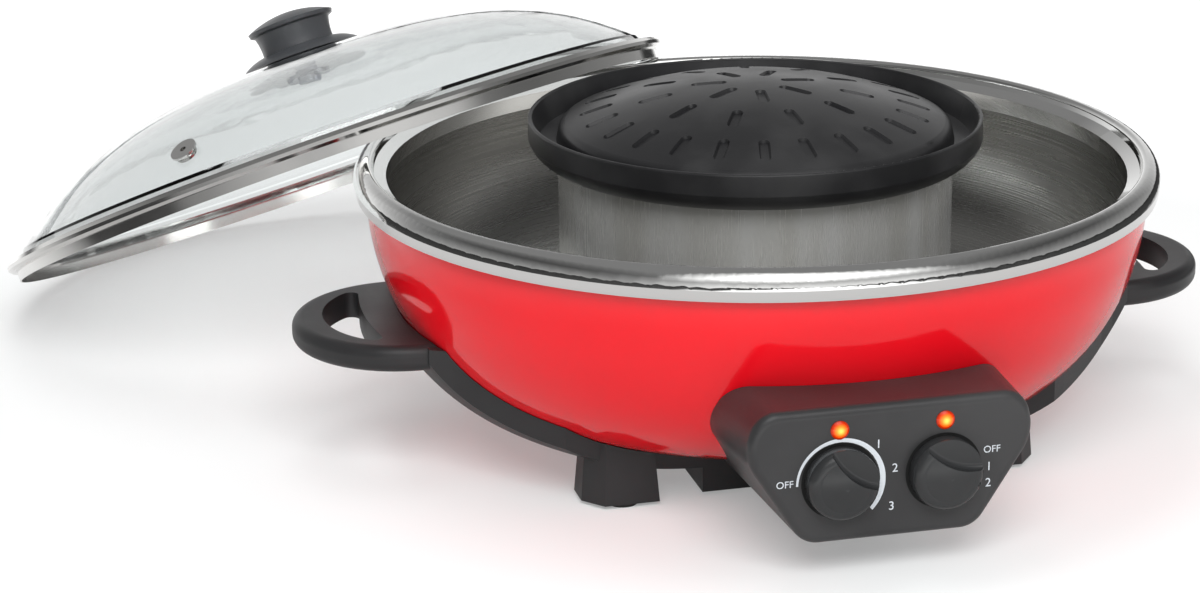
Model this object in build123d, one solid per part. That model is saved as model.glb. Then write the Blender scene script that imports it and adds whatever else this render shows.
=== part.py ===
from build123d import *
import math
import os

os.makedirs("parts", exist_ok=True)

# An electric hot pot with a grill plate on its central chimney and a lift-off glass lid.
# The pot stands on the table at z = 0 with its axis on Z. The cook is at -Y and the handles lie along X.
# All sizes are in millimetres.

# ---------------------------------------------------------------- clearances
seat_gap = 0.3  # left between pieces that lift apart or are only laid together
run_gap = 0.05  # radial clearance of a turning shaft

# ---------------------------------------------------------------- inner pot and its rolled rim
pot_sheet = 1.0
pot_wall_r = 181.5
pot_shoulder_z = 118.0
pot_floor_r = pot_wall_r - 57.5
pot_floor_z = 48.0
lid_seat_z = 131.5  # inner edge of the conical lid seat
lid_seat_rise = 2.9
groove_r = pot_wall_r + 5.8
crest_r = groove_r + 3.2
crest_z = 139.0
crest_foot = (0.8, 2.4)  # where the crest's inner curve starts: outwards from the groove, and below the crest
crest_belly = (1.8, 0.5)  # the middle of that curve, measured alike
rim_r = crest_r + 7.0
rim_roll_h = 9.0
rim_wide_z = crest_z - rim_roll_h
band_tuck = 0.9  # how far the band draws in below its widest line
band_h = 5.2
band_low_z = rim_wide_z - band_h
band_return = 3.4

chimney_r = 97.0
chimney_sheet = 0.8
chimney_top_z = 139.1

# ---------------------------------------------------------------- outer bowl
bowl_mouth_r = rim_r - 5.9
bowl_shoulder_z = 125.0
bowl_floor_r = bowl_mouth_r - 79.6
bowl_floor_z = 23.5
bowl_wall = 1.0
bowl_hole_r = 34.0
rim_rest_gap = 0.4  # between the bowl's lip and the underside of the pot's rolled rim

# ---------------------------------------------------------------- grill plate
plate_rim_r = chimney_r + 14.4
plate_rim_z = chimney_top_z + 18.9
plate_lip = 2.2
plate_side_z = chimney_top_z + 8.3  # where the upright side turns in towards the foot
plate_side_bulge = 0.7
plate_foot_r = chimney_r + 7.8
plate_dome_r = chimney_r - 4.0
plate_dome_edge_z = chimney_top_z + 16.0
plate_dome_rise = 18.3
plate_shoulder_middle = (2.4, 1.75)  # outwards from the dome's edge, and down from it
plate_shoulder_foot = (3.6, 4.4)
plate_gutter_in_r = plate_dome_r + 4.6
plate_gutter_r = chimney_r + 9.0
plate_gutter_z = chimney_top_z + 6.8
plate_wall = 4.5
plate_ring_wall = 2.5
plate_ring_drop = 3.4
plate_ring_play = 2.0  # radial play of the locating ring inside the chimney
slot_width = 5.6
slot_depth = 1.6
slot_draft = 30.0
slot_rows = ((7, 22.6, 18.0, 5.7), (11, 49.8, 17.6, 13.6), (24, 77.9, 17.6, 2.0))  # count, radius, length, turn

# ---------------------------------------------------------------- lid, in its own frame
lid_skirt_r = groove_r - 2.3
lid_skirt_h = 5.5
lid_sheet = 0.8
glass_t = 4.0
glass_flange_r = lid_skirt_r + 2.4
glass_dome_r = glass_flange_r - 4.8
glass_rise = 53.3
glass_fullness = 3.35  # exponent of the dome's profile; two would be a parabola
glass_bend_r = glass_flange_r - 9.4  # where the dome turns into the flange
glass_bend_width = 3.0
lid_bead_r = glass_flange_r + 1.8
lid_bead_round = 1.5  # the bead's two slanted edges
lid_hem_width = 4.4
vent_r = glass_bend_r - 16.6
vent_turn = 111.6
vent_hole_r = 4.6
vent_flange_r = 7.3
vent_flange_t = 1.2
vent_bore_r = 1.6
lid_stud_r = 3.0
lid_tilt = 25.3
lid_foot_turn = 126.9  # direction from the pot's axis to the middle of the leaning lid, in plan
lid_lean_turn = 125.1  # direction in which the lid slopes down

knob_washer_r = 23.0
knob_washer_t = 1.0
inner_washer_r = 12.0
knob_boss_r = 20.0
knob_boss_h = 3.2
skirt_disc_r = 34.0
skirt_disc_t = 3.6
skirt_disc_droop = 4.6
grip_waist_r = 20.0
grip_neck_r = 21.4
grip_neck_h = 12.5
grip_cap_r = 24.2
grip_cap_edge = 2.0
grip_cap_rise = 5.6

# ---------------------------------------------------------------- heaters
element_tube_r = 4.0
element_tail_gap = 18.0
grill_element_gap = 12.1  # it heats the lift-off plate by radiation, with its dish
grill_element_r = chimney_r - 35.0
grill_tail_length = 30.0
pot_element_gap = 0.6
pot_element_r = pot_floor_r - 2.0
pot_tail_length = 11.0
reflector_sheet = 0.8
dish_r = chimney_r - 11.0
dish_hole_r = 10.0
dish_rim_h = 6.0
dish_drop = 15.2  # from the centre of the grill element down to the dish
column_r = 38.0
column_wall = 2.0
column_flange_r = 62.0
column_flange_t = 2.0
pedestal_screw_r = 2.0
pedestal_screw_ring = 50.0
tray_in_r = pot_element_r - 18.0
tray_out_r = pot_element_r + 12.0
tray_drop = 8.4
tray_lip = 3.0
tray_leg_r = 3.0
tray_leg_ring = tray_in_r + 5.0
clip_count = 3
clip_width = 10.0
clip_sheet = 1.2
fuse_r = 6.0
fuse_h = 7.0

# ---------------------------------------------------------------- base, feet and handles
pad_h = 2.0
pad_r = 7.0
pad_stem_r = 3.0
pad_stem_h = 4.0
hug_t = 8.5  # thickness of the arms and beams under the bowl
base_half_x = 55.0
base_half_y = 101.0
base_low_z = 2.6
base_wall = 2.5
base_top_wall = 2.5
foot_in_x = 77.0
foot_out_x = 112.5
foot_front_y = base_half_y + 4.5
foot_back_y = base_half_y - 21.0
foot_corner = 9.0
foot_draft = 3.0
pad_x = 93.0
pad_y = base_half_y - 4.0
seam_x = bowl_floor_r + 9.0
cover_t = 2.0
cover_screw_r = 1.6
cover_boss_r = 3.5
cover_screw_length = 8.0
cover_screw_places = ((-44, -88), (44, -88), (-44, 88), (44, 88))
wall_screw_r = 2.0
wall_screw_length = 12.0
wall_screw_seat = 0.25  # the head's flat stands this far off the curved wall
handle_screw_places = (-10.0, 10.0)  # degrees round the bowl
handle_screw_z = 67.5

grip_z = 64.5
grip_t = 13.0
grip_tip_x = bowl_mouth_r + 40.4
grip_arc_r = 54.0
grip_hole_in_r = bowl_mouth_r + 5.4
grip_hole_corner = 4.0
grip_hole_tip_x = grip_tip_x - 15.0
grip_hole_half_y = 45.0
grip_round = 5.0
arm_span = 24.0  # width of the arms and of the base's beams along Y
# the arm's outer edge in plan, from the grip back to the base:
# how far it is inwards from the bowl's mouth, and how far out from its middle
arm_outline = ((15.6, 56), (25.6, 62), (33.6, 68), (43.6, 77), (53.6, 86), (63.6, 95))

# ---------------------------------------------------------------- control housing
panel_front_y = bowl_mouth_r + 22.4
panel_top = (61.5, 81.8)
panel_side = (67.2, 61.0)
panel_low = (39.7, 18.5)
panel_top_round = 13.0
panel_side_round = 22.0
panel_low_round = 13.0
panel_edge_round = 4.0
panel_wall = 2.5
panel_flare = 6.0  # added to each half width at the back
housing_screw_places = (-110.0, -70.0)  # degrees round the bowl
housing_screw_z = 68.0
lug_r = 5.0
duct_half_x = 18.0
duct_front_y = bowl_floor_r + 38.0
duct_low_z = 7.0
duct_high_z = 16.0
boss_places = ((-42, 62), (42, 62), (0, 34), (0, 66))
boss_r = 3.6
boss_screw_r = 1.5
knob_x = 24.0
knob_z = 48.0
lamp_x = 24.3
lamp_z = 71.7

knob_r = 16.4
knob_h = 11.0
knob_side_h = 5.2  # straight side below the dome
knob_face_gap = 0.6
knob_crown_r = 11.5
knob_crown_h = 1.9
knob_socket = 4.0
scoop_r = 32.8  # curve of the ridge, seen from the front
scoop_turn = 39.0
scoop_offset = 37.2
scoop_floor_h = 5.6
scoop_round = 2.5
pointer_r = 1.1
pot_knob_turn = 127.0  # where the pointer stands at rest, clockwise from twelve
grill_knob_turn = 110.0

shaft_r = 3.0
bush_r = 5.0
control_body = 26.0
thermostat_depth = 18.0
switch_depth = 14.0
bracket_y = panel_front_y - 9.0
bracket_t = 1.2
bracket_play = 1.0
blade_gap = 12.0
blade_h = 6.0
blade_half_width = 1.6
blade_half_thick = 0.4
lamp_lens_r = 4.3
lamp_dome_h = 1.6
lamp_proud = 2.0
lamp_flange_r = 5.2
neon_r = 2.6
neon_length = 14.0

# ---------------------------------------------------------------- inlet, terminals and leads
inlet_half_x = 13.0
inlet_half_z = 7.5
inlet_z = 12.9
inlet_depth = 22.0
inlet_wall = 2.0
inlet_pin_r = 1.5
inlet_pin_gap = 10.0
inlet_tail = 6.0
terminal_half_x = 19.0
terminal_y = (6.0, 18.0)
terminal_h = 10.0
terminal_pitch = 7.0
wire_r = 1.4
wire_bend = 2.2
lead_hole_r = 2.2
grill_lead_drop = 7.0  # from the end of an element's tail down to its lead
pot_lead_drop = 2.4


# ================================================================ helpers
quarter_turn = 90
bottom_turn = 270  # where an arc about its centre is lowest


def turned(outline):
    """The solid of revolution about Z of a closed outline drawn in the XZ plane."""
    return revolve(make_face(Plane.XZ * outline), Axis.Z)


def ring(outer_r, inner_r, low_z, high_z):
    """A plain tube about Z."""
    corners = (inner_r, low_z), (outer_r, low_z), (outer_r, high_z), (inner_r, high_z)
    return turned(Polyline(*corners, close=True))


def rod(r, low, high):
    """A round bar between two points."""
    low, high = Vector(*low), Vector(*high)
    along = high - low
    rod = Cylinder(r, along.length, align=(Align.CENTER, Align.CENTER, Align.MIN))
    return Plane(origin=low, z_dir=along) * rod


def block(x, y, z):
    """A box between pairs of limits along each axis."""
    size = [limits[1] - limits[0] for limits in (x, y, z)]
    centre = [(limits[0] + limits[1]) / 2 for limits in (x, y, z)]
    return Pos(*centre) * Box(*size)


def all_corners(shape):
    """A shape in the front right quarter, repeated in all four quarters."""
    half = shape + mirror(shape, about=Plane.YZ)
    return half + mirror(half, about=Plane.XZ)


def sphere_r(rise, half_width):
    """Radius of the sphere whose cap has this rise and half width."""
    return (half_width * half_width + rise * rise) / (2 * rise)


def cap_arc(half_width, low_z, rise):
    """Profile of a shallow cap from its edge up to the axis."""
    big_r = sphere_r(rise, half_width)
    mid_z = low_z + rise - big_r + math.sqrt(big_r**2 - (half_width / 2) ** 2)
    return ThreePointArc((half_width, low_z), (half_width / 2, mid_z), (0, low_z + rise))


# ================================================================ outer bowl
bowl_lip_z = crest_z - pot_sheet - rim_rest_gap


def bowl_form(grow=0.0, top_z=None):
    """The filled outside form of the bowl, grown outwards by a distance."""
    top_z = bowl_lip_z if top_z is None else top_z
    flank = EllipticalCenterArc(
        (bowl_floor_r, bowl_shoulder_z),
        bowl_mouth_r - bowl_floor_r + grow,
        bowl_shoulder_z - bowl_floor_z + grow,
        bottom_turn,
        arc_size=quarter_turn,
    )
    low_z = bowl_floor_z - grow
    mouth_r = bowl_mouth_r + grow
    sides = Polyline((mouth_r, bowl_shoulder_z), (mouth_r, top_z), (0, top_z), (0, low_z))
    return turned(flank + sides + Line((0, low_z), (bowl_floor_r, low_z)))


def bowl_height(r, grow=0.0):
    """Height of the bowl's outside surface at a radius beyond its flat floor."""
    across = (r - bowl_floor_r) / (bowl_mouth_r - bowl_floor_r + grow)
    return bowl_shoulder_z - (bowl_shoulder_z - bowl_floor_z + grow) * math.sqrt(1 - across * across)


def bowl_radius(z, grow=0.0):
    """Radius of the bowl's outside surface at a height."""
    drop = (bowl_shoulder_z - z) / (bowl_shoulder_z - bowl_floor_z + grow)
    return bowl_floor_r + (bowl_mouth_r - bowl_floor_r + grow) * math.sqrt(1 - drop * drop)


def wall_plane(turn, z):
    """A plane on the bowl's outside at an angle round it and a height, facing straight out of the wall."""
    r = bowl_radius(z)
    height = bowl_shoulder_z - bowl_floor_z
    drop = (bowl_shoulder_z - z) / height
    slope = (bowl_mouth_r - bowl_floor_r) * drop / (height * math.sqrt(1 - drop * drop))
    x, y = math.cos(math.radians(turn)), math.sin(math.radians(turn))
    return Plane(origin=(r * x, r * y, z), z_dir=(x, y, -slope))


def on_wall(shape, places, z):
    """A shape made about Z, repeated on the bowl's wall at angles round it."""
    copies = [wall_plane(turn, z) * shape for turn in places]
    return Part() + copies


def outer_bowl():
    shell = bowl_form() - bowl_form(-bowl_wall, crest_z)
    shell -= rod(bowl_hole_r, (0, 0, 0), (0, 0, pot_floor_z))
    hole = Cylinder(wall_screw_r, 4 * bowl_wall)
    right_holes = on_wall(hole, handle_screw_places, handle_screw_z)
    shell -= right_holes + mirror(right_holes, about=Plane.YZ)
    shell -= on_wall(hole, housing_screw_places, housing_screw_z)
    return shell - pedestal_holes()


# ================================================================ inner pot
def pot_flank(grow):
    return EllipticalCenterArc(
        (pot_floor_r, pot_shoulder_z),
        pot_wall_r - pot_floor_r + grow,
        pot_shoulder_z - pot_floor_z + grow,
        bottom_turn,
        arc_size=quarter_turn,
    )


def inner_pot():
    """Drawn sheet: floor with the chimney hole, flank, lid seat, rolled crest, band and return."""
    t = pot_sheet
    seat_out_z = lid_seat_z + lid_seat_rise
    crest_in = (groove_r + crest_foot[0], crest_z - crest_foot[1])
    crest_mid = (groove_r + crest_belly[0], crest_z - crest_belly[1])
    roll_wide, roll_high = rim_r - crest_r, crest_z - rim_wide_z
    inside = (
        Line((chimney_r, pot_floor_z), (pot_floor_r, pot_floor_z))
        + pot_flank(0)
        + Polyline((pot_wall_r, pot_shoulder_z), (pot_wall_r, lid_seat_z), (groove_r, seat_out_z), crest_in)
        + ThreePointArc(crest_in, crest_mid, (crest_r, crest_z))
        + EllipticalCenterArc((crest_r, rim_wide_z), roll_wide, roll_high, 0, arc_size=quarter_turn)
    )
    band_r = rim_r - band_tuck
    band = Polyline(
        (rim_r, rim_wide_z),
        (band_r, band_low_z),
        (band_r - band_return, band_low_z - t),
        (band_r - band_return, band_low_z),
        (band_r - t, band_low_z + t),
        (rim_r - t, rim_wide_z),
    )
    under_in = (crest_in[0] + t, crest_in[1] - 0.4 * t)
    under_mid = (crest_mid[0] + 0.6 * t, crest_mid[1] - 0.9 * t)
    outside = (
        EllipticalCenterArc((crest_r, rim_wide_z), roll_wide - t, roll_high - t, 0, arc_size=quarter_turn)
        + ThreePointArc((crest_r, crest_z - t), under_mid, under_in)
        + Polyline(
            under_in,
            (groove_r + t, seat_out_z - 0.8 * t),
            (pot_wall_r + t, lid_seat_z - 0.9 * t),
            (pot_wall_r + t, pot_shoulder_z),
        )
        + pot_flank(t)
        + Polyline((pot_floor_r, pot_floor_z - t), (chimney_r, pot_floor_z - t), (chimney_r, pot_floor_z))
    )
    return turned(inside + band + outside)


def pot_chimney():
    return ring(chimney_r, chimney_r - chimney_sheet, pot_floor_z - pot_sheet, chimney_top_z)


# ================================================================ grill plate
plate_sphere_r = sphere_r(plate_dome_rise, plate_dome_r)
plate_top_z = plate_dome_edge_z + plate_dome_rise
plate_seat_z = chimney_top_z + seat_gap
plate_ring_r = chimney_r - chimney_sheet - plate_ring_play
plate_ring_in_r = plate_ring_r - plate_ring_wall


def plate_top(r):
    """Height of the plate's domed top at a radius."""
    return plate_top_z - plate_sphere_r + math.sqrt(plate_sphere_r**2 - r * r)


def slot_cutter(length):
    """One groove, from its floor upwards: rounded ends, and walls that lean outwards."""
    lean = 2 * slot_depth * math.tan(math.radians(slot_draft))
    floor = SlotOverall(length - lean, slot_width - lean)
    return Pos(0, 0, -slot_depth) * extrude(floor, 3 * slot_depth, taper=-slot_draft)


def grill_plate():
    mid = plate_dome_r / 2
    lip_z = plate_rim_z - plate_lip / 2
    dome_edge = (plate_dome_r, plate_dome_edge_z)
    shoulder_middle = (plate_dome_r + plate_shoulder_middle[0], plate_dome_edge_z - plate_shoulder_middle[1])
    shoulder_foot = (plate_dome_r + plate_shoulder_foot[0], plate_dome_edge_z - plate_shoulder_foot[1])
    side = (plate_rim_r, plate_side_z)
    foot = (plate_foot_r, plate_seat_z)
    under_side = ((side[0] + foot[0]) / 2 + plate_side_bulge, (side[1] + foot[1]) / 2 - plate_side_bulge)
    under_mid = (plate_ring_in_r / 2, plate_top(plate_ring_in_r / 2) - plate_wall)
    under_top = (0, plate_top_z - plate_wall)
    under_edge = (plate_ring_in_r, plate_top(plate_ring_in_r) - plate_wall)
    outline = (
        ThreePointArc((0, plate_top_z), (mid, plate_top(mid)), dome_edge)
        + ThreePointArc(dome_edge, shoulder_middle, shoulder_foot)
        + Polyline(
            shoulder_foot,
            (plate_gutter_in_r, plate_gutter_z),
            (plate_gutter_r, plate_gutter_z),
            (plate_rim_r - plate_lip, lip_z),
        )
        + ThreePointArc(
            (plate_rim_r - plate_lip, lip_z), (plate_rim_r - plate_lip / 2, plate_rim_z), (plate_rim_r, lip_z)
        )
        + Line((plate_rim_r, lip_z), side)
        + ThreePointArc(side, under_side, foot)
        + Polyline(foot, (plate_ring_in_r, plate_seat_z), under_edge)
        + ThreePointArc(under_edge, under_mid, under_top)
        + Line(under_top, (0, plate_top_z))
    )
    plate = turned(outline)
    for count, row_r, length, turn in slot_rows:
        slope = math.degrees(math.asin(row_r / plate_sphere_r))
        placed = Pos(row_r, 0, plate_top(row_r)) * Rot(0, slope, 0) * slot_cutter(length)
        for k in range(count):
            plate -= Rot(0, 0, turn + k * 360 / count) * placed
    return plate


def plate_locating_ring():
    """Ring under the plate that drops into the chimney's mouth."""
    return ring(plate_ring_r, plate_ring_in_r, plate_seat_z - plate_ring_drop, plate_seat_z)


# ================================================================ heaters
bowl_inner_floor_z = bowl_floor_z + bowl_wall
grill_element_z = plate_top(grill_element_r) - plate_wall - grill_element_gap - element_tube_r
pot_element_z = pot_floor_z - pot_sheet - pot_element_gap - element_tube_r
dish_z = grill_element_z - dish_drop
tray_z = pot_element_z - tray_drop
grill_tail_z = grill_element_z - grill_tail_length
pot_tail_z = pot_element_z - pot_tail_length


def tail_places(ring_r):
    """Plan places of an open ring's two tails."""
    x = math.sqrt(ring_r**2 - (element_tail_gap / 2) ** 2)
    return (x, -element_tail_gap / 2), (x, element_tail_gap / 2)


def open_ring_element(ring_r, z, tail_length):
    """A sheathed element: most of a ring with two tails that turn down to their terminals."""
    start = math.degrees(math.asin(element_tail_gap / 2 / ring_r))
    path = CenterArc((0, 0, z), ring_r, start, 360 - 2 * start)
    loop = sweep(Plane(origin=path @ 0, z_dir=path % 0) * Circle(element_tube_r), path)
    for x, y in tail_places(ring_r):
        loop += rod(element_tube_r, (x, y, z - tail_length), (x, y, z))
        loop += Pos(x, y, z) * Sphere(element_tube_r)
    return loop


def tail_holes(ring_r, z):
    """Clear holes for an element's tails through a sheet."""
    holes = Part()
    for x, y in tail_places(ring_r):
        holes += rod(element_tube_r + seat_gap, (x, y, z - 5), (x, y, z + 5))
    return holes


def element_clips(ring_r, low_z, high_z):
    """Bent straps that stand on a sheet and carry an element."""
    across = (ring_r - clip_width / 2, ring_r + clip_width / 2)
    leg = block(across, (-clip_sheet / 2, clip_sheet / 2), (low_z, high_z))
    leg += block(across, (-clip_width / 2, clip_width / 2), (low_z, low_z + clip_sheet))
    clips = Part()
    for k in range(clip_count):
        clips += Rot(0, 0, 60 + 360 / clip_count * k) * leg
    return clips - Pos(0, 0, high_z) * Torus(ring_r, element_tube_r)


def grill_heating_element():
    return open_ring_element(grill_element_r, grill_element_z, grill_tail_length)


def grill_element_clips():
    return element_clips(grill_element_r, dish_z + reflector_sheet, grill_element_z)


def heat_reflector():
    """Shallow dish under the grill element."""
    dish = ring(dish_r, dish_hole_r, dish_z, dish_z + reflector_sheet)
    dish += ring(dish_r, dish_r - reflector_sheet, dish_z, dish_z + dish_rim_h)
    return dish - tail_holes(grill_element_r, dish_z)


def pedestal_holes():
    holes = Part()
    for k in range(4):
        turned_hole = rod(pedestal_screw_r, (pedestal_screw_ring, 0, 0), (pedestal_screw_ring, 0, pot_floor_z))
        holes += Rot(0, 0, 45 + 90 * k) * turned_hole
    return holes


def heater_pedestal():
    """Pressed steel column on the bowl's floor that carries the dish."""
    column = ring(column_r, column_r - column_wall, bowl_inner_floor_z, dish_z)
    flange_z = bowl_inner_floor_z + column_flange_t
    column += ring(column_flange_r, column_r - column_wall, bowl_inner_floor_z, flange_z)
    for z in (grill_tail_z - grill_lead_drop, pot_tail_z - pot_lead_drop):
        for y in (-element_tail_gap / 2, element_tail_gap / 2):
            column -= rod(lead_hole_r, (0, y, z), (column_r + 1, y, z))
    return column - pedestal_holes()


def pedestal_screws():
    screws = Part()
    z = bowl_inner_floor_z + column_flange_t
    r = pedestal_screw_ring
    for k in range(4):
        low_z = bowl_floor_z - base_top_wall - 3
        screws += Rot(0, 0, 45 + 90 * k) * screw(pedestal_screw_r, 4.0, 1.8, (r, 0, z + 1.8), (r, 0, low_z))
    return screws


def thermal_fuse():
    """Cut-out can under the dish, strapped to the column."""
    r = column_r + fuse_r + 1
    can = rod(fuse_r, (-r, 0, dish_z - fuse_h), (-r, 0, dish_z))
    return can + block((-r, -column_r), (-3, 3), (dish_z - fuse_h, dish_z - fuse_h + 1.5))


def pot_heating_element():
    return open_ring_element(pot_element_r, pot_element_z, pot_tail_length)


def pot_element_clips():
    return element_clips(pot_element_r, tray_z + reflector_sheet, pot_element_z)


def pot_heat_reflector():
    """Ring tray under the pot's element, on three legs."""
    tray = ring(tray_out_r, tray_in_r, tray_z, tray_z + reflector_sheet)
    tray += ring(tray_in_r + reflector_sheet, tray_in_r, tray_z, tray_z + tray_lip)
    leg = rod(tray_leg_r, (tray_leg_ring, 0, bowl_inner_floor_z), (tray_leg_ring, 0, tray_z))
    for k in range(3):
        tray += Rot(0, 0, 60 + 120 * k) * leg
    return tray - tail_holes(pot_element_r, tray_z)


# ================================================================ base
def hug():
    """A skin under the bowl, from just clear of it to the arms' thickness."""
    return bowl_form(hug_t) - bowl_form(seat_gap)


def foot():
    """Front right foot: a tapered block with its outer front corner cut off."""
    plan = Polygon(
        (foot_in_x, -foot_back_y),
        (foot_in_x, -foot_front_y),
        (foot_out_x - foot_corner, -foot_front_y),
        (foot_out_x, -foot_front_y + foot_corner * 1.2),
        (foot_out_x, -foot_back_y),
        align=None,
    )
    height = bowl_height(math.hypot(foot_out_x, foot_front_y))
    body = Pos(0, 0, pad_h) * extrude(plan, height, taper=math.degrees(math.atan(foot_draft / height)))
    body -= bowl_form(seat_gap)
    return body - rod(pad_stem_r, (pad_x, -pad_y, 0), (pad_x, -pad_y, pad_h + pad_stem_h))


def base_beam():
    """The front right beam under the bowl, from the central housing to the seam with the arm."""
    return block((base_half_x, seam_x), (-base_half_y, -base_half_y + arm_span), (0, grip_z)) & hug()


def foot_arms():
    """Four moulded beams that carry the feet, each butted against the central housing."""
    return all_corners(foot() + base_beam())


base_top_z = bowl_floor_z - seat_gap


def base_frame():
    inner_x, inner_y = base_half_x - base_wall, base_half_y - base_wall
    hollow = block((-inner_x, inner_x), (-inner_y, inner_y), (base_low_z, base_top_z - base_top_wall))
    frame = block((-base_half_x, base_half_x), (-base_half_y, base_half_y), (base_low_z, base_top_z))
    frame -= hollow
    for x, y in cover_screw_places:
        frame += rod(cover_boss_r, (x, y, base_low_z + cover_t), (x, y, base_top_z - 1))
        frame -= rod(cover_screw_r, (x, y, 0), (x, y, base_low_z + cover_t + cover_screw_length))
    frame -= rod(bowl_hole_r - 4, (0, 0, 0), (0, 0, bowl_floor_z + 10))
    frame -= pedestal_holes() & block((-base_half_x, base_half_x), (-base_half_y, base_half_y), (15, 30))
    frame -= block((-duct_half_x, duct_half_x), (-base_half_y - 1, -inner_y + 1), (duct_low_z, duct_high_z))
    inlet_height = (inlet_z - inlet_half_z, inlet_z + inlet_half_z)
    frame -= block((-inlet_half_x, inlet_half_x), (inner_y - 1, base_half_y + 1), inlet_height)
    return frame


def bottom_cover():
    """Vented plate that closes the base from below."""
    edge = base_wall + seat_gap
    x, y = base_half_x - edge, base_half_y - edge
    plate = block((-x, x), (-y, y), (base_low_z, base_low_z + cover_t))
    for x, y in cover_screw_places:
        plate -= rod(cover_screw_r, (x, y, 0), (x, y, 10))
    for k in range(-3, 4):
        plate -= block((-20, 20), (k * 9 - 1.5, k * 9 + 1.5), (0, 10))
    return plate


def screw(r, head_r, head_h, head, tip):
    """A slotted screw from the outside of its head to its tip."""
    head, tip = Vector(*head), Vector(*tip)
    along = (tip - head).normalized()
    shape = rod(head_r, tuple(head), tuple(head + along * head_h)) + rod(r, tuple(head), tuple(tip))
    return shape - Plane(origin=head, z_dir=along) * Box(head_r * 1.3, 0.7, head_h)


def cover_screws():
    screws = Part()
    for x, y in cover_screw_places:
        tip = (x, y, base_low_z + cover_t + cover_screw_length - 1)
        screws += screw(cover_screw_r, 3.2, 1.5, (x, y, base_low_z - 1.5), tip)
    return screws


def rubber_feet():
    pad = rod(pad_r, (pad_x, -pad_y, 0), (pad_x, -pad_y, pad_h))
    pad += rod(pad_stem_r, (pad_x, -pad_y, 0), (pad_x, -pad_y, pad_h + pad_stem_h))
    return all_corners(pad)


# ================================================================ handles
def grip_plan():
    """Outline of the right finger ring in plan: a half round with a D-shaped hole."""
    arc_x = grip_tip_x - grip_arc_r
    outer = Pos(arc_x, 0) * Circle(grip_arc_r) + Pos(arc_x - 15, 0) * Rectangle(30, 2 * grip_arc_r)
    hole = Pos(arc_x, 0) * Ellipse(grip_hole_tip_x - arc_x, grip_hole_half_y) - Circle(grip_hole_in_r)
    return outer, fillet(hole.vertices(), grip_hole_corner)


def arm_plan():
    """Plan of the front right arm, between its outer edge and the same edge moved inwards."""
    outer = [(bowl_mouth_r - inwards, -y) for inwards, y in arm_outline] + [(seam_x, -base_half_y)]
    inner = [(x, y + arm_span) for x, y in (outer[-1], outer[0])]
    return Polyline(*outer, *inner, close=True)


def handle_right():
    outer, hole = grip_plan()
    grip = Pos(0, 0, grip_z - grip_t / 2) * extrude(outer, grip_t)
    tip_side = grip.edges().filter_by(lambda e: e.center().X > grip_tip_x - grip_arc_r - 10)
    grip = fillet(tip_side.filter_by(lambda e: e.bounding_box().size.Z < 0.01), grip_round)
    opening = Pos(0, 0, grip_z - grip_t) * extrude(hole, 2 * grip_t)
    arm = extrude(make_face(arm_plan()), grip_z + grip_t / 2 - 1) & bowl_form(hug_t)
    arm -= block((0, seam_x), (-bowl_mouth_r, 0), (0, bowl_lip_z))
    handle = grip + arm + mirror(arm, about=Plane.XZ) - opening - bowl_form(seat_gap)
    return handle - on_wall(Cylinder(wall_screw_r, 2 * wall_screw_length), handle_screw_places, handle_screw_z)


def handle_left():
    return mirror(handle_right(), about=Plane.YZ)


def wall_screw():
    """A screw along Z from the bowl's inside at Z < 0 out into a plastic piece."""
    head_z = -bowl_wall - wall_screw_seat - 2.0
    return screw(wall_screw_r, 4.0, 2.0, (0, 0, head_z), (0, 0, wall_screw_length - 1))


def handle_screws():
    right = on_wall(wall_screw(), handle_screw_places, handle_screw_z)
    return right + mirror(right, about=Plane.YZ)


def housing_screws():
    return on_wall(wall_screw(), housing_screw_places, housing_screw_z)


# ================================================================ control housing
def panel_shape(shrink, flare):
    """The shield outline of the control housing in the XZ plane, drawn in all round and widened."""
    right = [(x + flare, z) for x, z in (panel_top, panel_side, panel_low)]
    sketch = Polygon(*right, *[(-x, z) for x, z in reversed(right)], align=None)
    for (x, z), r in zip(right, (panel_top_round, panel_side_round, panel_low_round)):
        for side in (-1, 1):
            corner = sketch.vertices().sort_by_distance((side * x, z))[0]
            sketch = fillet(corner, r)
    return offset(sketch, -shrink) if shrink else sketch


def panel_block(shrink, front_y, back_y):
    """The housing's form between two depths, wider towards the bowl."""
    sections = []
    for y in (front_y, back_y):
        flare = panel_flare * (panel_front_y - y) / (panel_front_y - base_half_y)
        upright = Plane(origin=(0, -y, 0), x_dir=(1, 0, 0), z_dir=(0, -1, 0))
        sections.append(upright * panel_shape(shrink, flare))
    return loft(sections)


def control_housing():
    body = panel_block(0, panel_front_y, base_half_y)
    front_edges = body.edges().filter_by(lambda e: e.bounding_box().max.Y < -panel_front_y + 0.01)
    body = fillet(front_edges, panel_edge_round)
    body += wire_duct(panel_wall)
    body -= panel_block(panel_wall, panel_front_y - panel_wall, base_half_y - 1)
    body -= wire_duct(0)
    body += housing_bosses()
    body -= bowl_form(seat_gap)
    body -= on_wall(Cylinder(wall_screw_r, 2 * wall_screw_length), housing_screw_places, housing_screw_z)
    for x in (-knob_x, knob_x):
        body -= rod(bush_r + 0.5, (x, -panel_front_y - 1, knob_z), (x, -panel_front_y + panel_wall, knob_z))
    for x in (-lamp_x, lamp_x):
        body -= rod(lamp_lens_r, (x, -panel_front_y - 1, lamp_z), (x, -panel_front_y + panel_wall, lamp_z))
    return body


def wire_duct(wall):
    """Duct under the housing, from the base's front wall to the housing's hollow."""
    low = duct_low_z - wall
    x = duct_half_x + wall
    back = base_half_y if wall else base_half_y - 1
    return block((-x, x), (-duct_front_y - wall, -back), (low, panel_low[1] + (0 if wall else panel_wall + 1)))


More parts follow.
